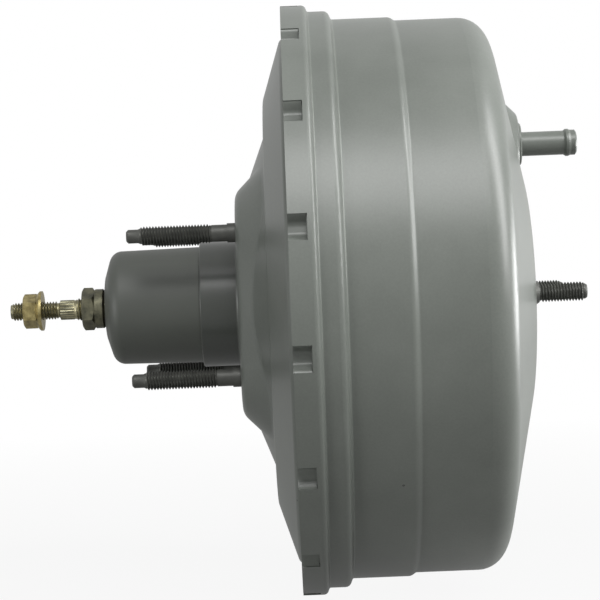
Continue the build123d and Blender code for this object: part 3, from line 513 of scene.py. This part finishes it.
# Pressed plates inside: cold-rolled sheet as it left the press, with a faint rolling grain along
# one direction and thin drawing oil.
def rolled_sheet(name, bright, dull, roughness):
    """Bare cold-rolled steel: fine streaks along the sheet and soft oil stains."""
    material, tree, shader = start_material(name)
    place = add(tree, "TexCoord").outputs["Object"]
    grain = (per_metre(0.6), per_metre(0.6), per_metre(12))
    along = add(tree, "Mapping", {"Vector": place, "Scale": grain})
    streaks = add(tree, "TexNoise", {"Vector": along.outputs[0], "Scale": 1.0, "Detail": 3.0})
    oil = add(tree, "TexNoise", {"Vector": place, "Scale": per_metre(20), "Detail": 3.0})
    tone = add(tree, "Math", {0: streaks.outputs["Fac"], 1: oil.outputs["Fac"]}, operation="MULTIPLY")
    blend = add(tree, "MapRange", {"Value": tone.outputs[0], "From Min": 0.12, "From Max": 0.40})
    colour = add(tree, "Mix", {0: blend.outputs[0], 6: linear(dull), 7: linear(bright)}, data_type="RGBA")
    sheen = {"Value": oil.outputs["Fac"], "To Min": roughness - 0.1, "To Max": roughness + 0.1}
    rough = add(tree, "MapRange", sheen)
    scored = add(tree, "Bump", {"Height": streaks.outputs["Fac"], "Strength": 0.2, "Distance": 0.01 * mm})
    shader.inputs["Metallic"].default_value = 1.0
    tree.links.new(colour.outputs[2], shader.inputs["Base Color"])
    tree.links.new(rough.outputs[0], shader.inputs["Roughness"])
    tree.links.new(scored.outputs[0], shader.inputs["Normal"])
    return material


pressed_steel = rolled_sheet("oiled_cold_rolled_steel", "#a3a3a0", "#7e7e7b", 0.38)
dress(
    pressed_steel,
    "centre_plate", "front_reinforcement", "rear_reinforcement", "seal_retainer",
    "front_piston", "rear_piston", "stop_key", "poppet_retainer", "rod_cap",
)
turned_steel = rolled_sheet("ground_turned_steel", "#b4b4b2", "#8f8f8d", 0.28)
dress(turned_steel, "output_rod", "plunger")


# Moulded pieces: glass-filled phenolic, dark and a little glossy, with short pale fibres near the
# surface. The valve body and the two guide bushes are moulded in it.
def filled_phenolic(name):
    """Compression-moulded phenolic: brown-black with fine pale flecks of glass."""
    material, tree, shader = start_material(name)
    place = add(tree, "TexCoord").outputs["Object"]
    flow = add(tree, "TexNoise", {"Vector": place, "Scale": per_metre(9), "Detail": 4.0})
    flecks = add(tree, "TexVoronoi", {"Vector": place, "Scale": per_metre(0.8)})
    close = {"Value": flecks.outputs["Distance"], "From Min": 0.12, "From Max": 0.02}
    fibre = add(tree, "MapRange", close)
    browns = {0: flow.outputs["Fac"], 6: linear("#1b1816"), 7: linear("#2c2724")}
    dark = add(tree, "Mix", browns, data_type="RGBA")
    flecked = {0: fibre.outputs[0], 6: dark.outputs[2], 7: linear("#4a443e")}
    colour = add(tree, "Mix", flecked, data_type="RGBA")
    rough = add(tree, "MapRange", {"Value": flow.outputs["Fac"], "To Min": 0.32, "To Max": 0.5})
    skin = add(tree, "Bump", {"Height": flecks.outputs["Distance"], "Strength": 0.15, "Distance": 0.02 * mm})
    tree.links.new(colour.outputs[2], shader.inputs["Base Color"])
    tree.links.new(rough.outputs[0], shader.inputs["Roughness"])
    tree.links.new(skin.outputs[0], shader.inputs["Normal"])
    return material


phenolic = filled_phenolic("glass_filled_phenolic")
dress(phenolic, "valve_body", "rear_bush", "centre_bush")


# Rubber pieces: black moulded nitrile and EPDM, dull, with a dusting of talc left from assembly.
def moulded_rubber(name):
    """Moulded rubber: deep black, matt, greyed by talc in soft patches."""
    material, tree, shader = start_material(name)
    place = add(tree, "TexCoord").outputs["Object"]
    patches = {"Vector": place, "Scale": per_metre(14), "Detail": 5.0, "Roughness": 0.7}
    talc = add(tree, "TexNoise", patches)
    grain = add(tree, "TexNoise", {"Vector": place, "Scale": per_metre(0.5), "Detail": 2.0})
    dust = add(tree, "MapRange", {"Value": talc.outputs["Fac"], "From Min": 0.45, "From Max": 0.85})
    greys = {0: dust.outputs[0], 6: linear("#161617"), 7: linear("#3b3b3a")}
    colour = add(tree, "Mix", greys, data_type="RGBA")
    rough = add(tree, "MapRange", {"Value": talc.outputs["Fac"], "To Min": 0.55, "To Max": 0.8})
    skin = add(tree, "Bump", {"Height": grain.outputs["Fac"], "Strength": 0.2, "Distance": 0.02 * mm})
    tree.links.new(colour.outputs[2], shader.inputs["Base Color"])
    tree.links.new(rough.outputs[0], shader.inputs["Roughness"])
    tree.links.new(skin.outputs[0], shader.inputs["Normal"])
    return material


rubber = moulded_rubber("talced_moulded_rubber")
dress(rubber, "rear_seal", "poppet", "reaction_disc")


# Diaphragms: fabric-backed rubber in three parts that meet at a fold. The sheet lies on its pressed
# plate and moves with it, the bead stays clamped in the shells, and the fold stays fixed between them.
def turned_mesh(name, section, steps=180):
    """Closed ring about the axis from an outline of (x, radius) corners."""
    verts = []
    for j in range(steps):
        angle = 2 * pi * j / steps
        verts += [(x * mm, r * mm * cos(angle), r * mm * sin(angle)) for x, r in section]
    count = len(section)
    faces = []
    for j in range(steps):
        for i in range(count):
            a, b = j * count, (j + 1) % steps * count
            k = (i + 1) % count
            faces.append((a + i, a + k, b + k, b + i))
    mesh = bpy.data.meshes.new(name)
    mesh.from_pydata(verts, [], faces)
    edit = bmesh.new()
    edit.from_mesh(mesh)
    bmesh.ops.recalc_face_normals(edit, faces=edit.faces)
    edit.to_mesh(mesh)
    edit.free()
    smooth_shaded(mesh)
    made = bpy.data.objects.new(name, mesh)
    bpy.context.scene.collection.objects.link(made)
    return made


def lifted(points, gap):
    """An (x, radius) line moved to the pedal side by a gap, square to itself."""
    moved = []
    for i, point in enumerate(points):
        here = Vector(point)
        before = (here - Vector(points[i - 1])).normalized() if i else Vector((0, 1))
        after = (Vector(points[i + 1]) - here).normalized() if i + 1 < len(points) else before
        side = Vector((-before.y - after.y, before.x + after.x))
        moved.append(tuple(here + side * gap / (1 + before.dot(after))))
    return moved


plate_ring_radii = (56.05, 73.0, 88.0, 104.0)
plate_steps = (0.0, 6.9, 6.9, 12.8)
rubber_t = 2.0
rubber_gap = 0.05
fold_in_r = 105.6
fold_out_r = 107.6
rim_x = 14.5
corner_out_x = 11.95
corner_in_x = 13.34


def diaphragm_set(node, plate_x, hole_r, fold_x, bead_x, bead_r):
    """Sheet on its plate, fold and clamped bead of one diaphragm."""
    web_x = fold_x + rubber_t
    line = [(plate_x, hole_r)]
    line += [(plate_x + step, r) for step, r in zip(plate_steps, plate_ring_radii)]
    sheet_section = lifted(line, rubber_t + rubber_gap) + [
        (plate_x + corner_out_x, fold_out_r),
        (plate_x + rim_x, fold_out_r),
        (plate_x + rim_x, fold_in_r),
        (plate_x + corner_in_x, fold_in_r),
    ] + lifted(line, rubber_gap)[::-1]
    sheet = turned_mesh(node + "_sheet", sheet_section)
    fold_section = [
        (plate_x + rim_x, fold_in_r),
        (plate_x + rim_x, fold_out_r),
        (fold_x, fold_out_r),
        (fold_x, fold_in_r),
    ]
    fold = turned_mesh(node + "_fold", fold_section)
    bead_section = [
        (fold_x, fold_in_r),
        (fold_x, bead_r[0]),
        (bead_x[0], bead_r[0]),
        (bead_x[0], bead_r[1]),
        (bead_x[1], bead_r[1]),
        (bead_x[1], bead_r[0]),
        (web_x, bead_r[0]),
        (web_x, fold_in_r),
    ]
    bead = turned_mesh(node + "_bead", bead_section)
    for piece in (sheet, fold, bead):
        piece.data.materials.append(rubber)
        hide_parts(node)
    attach(sheet, "power_piston")
    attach(bead, "root")
    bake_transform(fold)


diaphragm_set(
    "rear_diaphragm", plate_x=11.0, hole_r=30.3, fold_x=32.65, bead_x=(31.05, 36.35), bead_r=(115.6, 121.9)
)
diaphragm_set(
    "front_diaphragm", plate_x=49.8, hole_r=29.0, fold_x=65.45, bead_x=(62.15, 67.55), bead_r=(111.0, 117.7)
)


# Air filter: needle-punched wool felt, pushed into the mouth of the tail round the rod.
def pressed_felt(name):
    """Felt: warm grey tangled fibres, fully matt with a soft sheen."""
    material, tree, shader = start_material(name)
    place = add(tree, "TexCoord").outputs["Object"]
    fibres = {"Vector": place, "Scale": per_metre(0.8), "Detail": 6.0, "Distortion": 2.5}
    tangle = add(tree, "TexNoise", fibres)
    wools = {0: tangle.outputs["Fac"], 6: linear("#5a5448"), 7: linear("#a39a88")}
    colour = add(tree, "Mix", wools, data_type="RGBA")
    fluff = add(tree, "Bump", {"Height": tangle.outputs["Fac"], "Strength": 0.8, "Distance": 0.3 * mm})
    shader.inputs["Roughness"].default_value = 0.95
    shader.inputs["Sheen Weight"].default_value = 0.4
    tree.links.new(colour.outputs[2], shader.inputs["Base Color"])
    tree.links.new(fluff.outputs[0], shader.inputs["Normal"])
    return material


felt = pressed_felt("needled_wool_felt")
dress(felt, "air_filter")


# Springs: cold-coiled patented wire with closed ends.
def spring_wire(name):
    """Drawn spring wire: blue-black skin with long fine draw marks."""
    material, tree, shader = start_material(name)
    place = add(tree, "TexCoord").outputs["Object"]
    marks = add(tree, "TexNoise", {"Vector": place, "Scale": per_metre(0.7), "Detail": 4.0})
    blues = {0: marks.outputs["Fac"], 6: linear("#3a3c40"), 7: linear("#74767a")}
    colour = add(tree, "Mix", blues, data_type="RGBA")
    rough = add(tree, "MapRange", {"Value": marks.outputs["Fac"], "To Min": 0.28, "To Max": 0.5})
    skin = add(tree, "Bump", {"Height": marks.outputs["Fac"], "Strength": 0.2, "Distance": 0.01 * mm})
    shader.inputs["Metallic"].default_value = 0.9
    tree.links.new(colour.outputs[2], shader.inputs["Base Color"])
    tree.links.new(rough.outputs[0], shader.inputs["Roughness"])
    tree.links.new(skin.outputs[0], shader.inputs["Normal"])
    return material


end_closing = 0.8
steps_per_turn = 40
sides = 12


def coil_spring(name, node, wire_r, turns):
    """Coil inside a packed spring's box, with its end turns closed up and its wire ends cut off."""
    low, high = (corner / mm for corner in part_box(node))
    mean_r = (high.z - low.z) / 2 - wire_r
    length = high.x - low.x - 2 * wire_r
    steps = int(turns * steps_per_turn)
    verts = []
    faces = []
    for i in range(steps + 1):
        t = i / steps
        ease = t - sin(2 * pi * t) / (2 * pi) * end_closing
        angle = 2 * pi * turns * t
        centre = Vector((low.x + wire_r + length * ease, mean_r * cos(angle), mean_r * sin(angle)))
        outward = Vector((0, cos(angle), sin(angle)))
        along = Vector((1, 0, 0))
        for j in range(sides):
            around = 2 * pi * j / sides
            verts.append((centre + (outward * cos(around) + along * sin(around)) * wire_r) * mm)
    for i in range(steps):
        for j in range(sides):
            a = i * sides + j
            b = i * sides + (j + 1) % sides
            faces.append((a, a + sides, b + sides, b))
    faces.append(list(range(sides)))
    faces.append([steps * sides + j for j in reversed(range(sides))])
    mesh = bpy.data.meshes.new(name)
    mesh.from_pydata(verts, [], faces)
    smooth_shaded(mesh)
    made = bpy.data.objects.new(name, mesh)
    bpy.context.scene.collection.objects.link(made)
    mesh.materials.append(wire)
    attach(made, bpy.data.objects[node]["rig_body"])
    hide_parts(node)
    return made


wire = spring_wire("drawn_spring_wire")
return_spring = coil_spring("main_return_coil", "return_spring", 2.1, 6)
coil_spring("poppet_coil", "poppet_spring", 0.6, 5)
rod_spring = coil_spring("rod_return_coil", "rod_return_spring", 0.7, 6)


def shortened(piece):
    """Gives a spring its own copy of its mesh."""
    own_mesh(piece)


shortened(return_spring)
shortened(rod_spring)
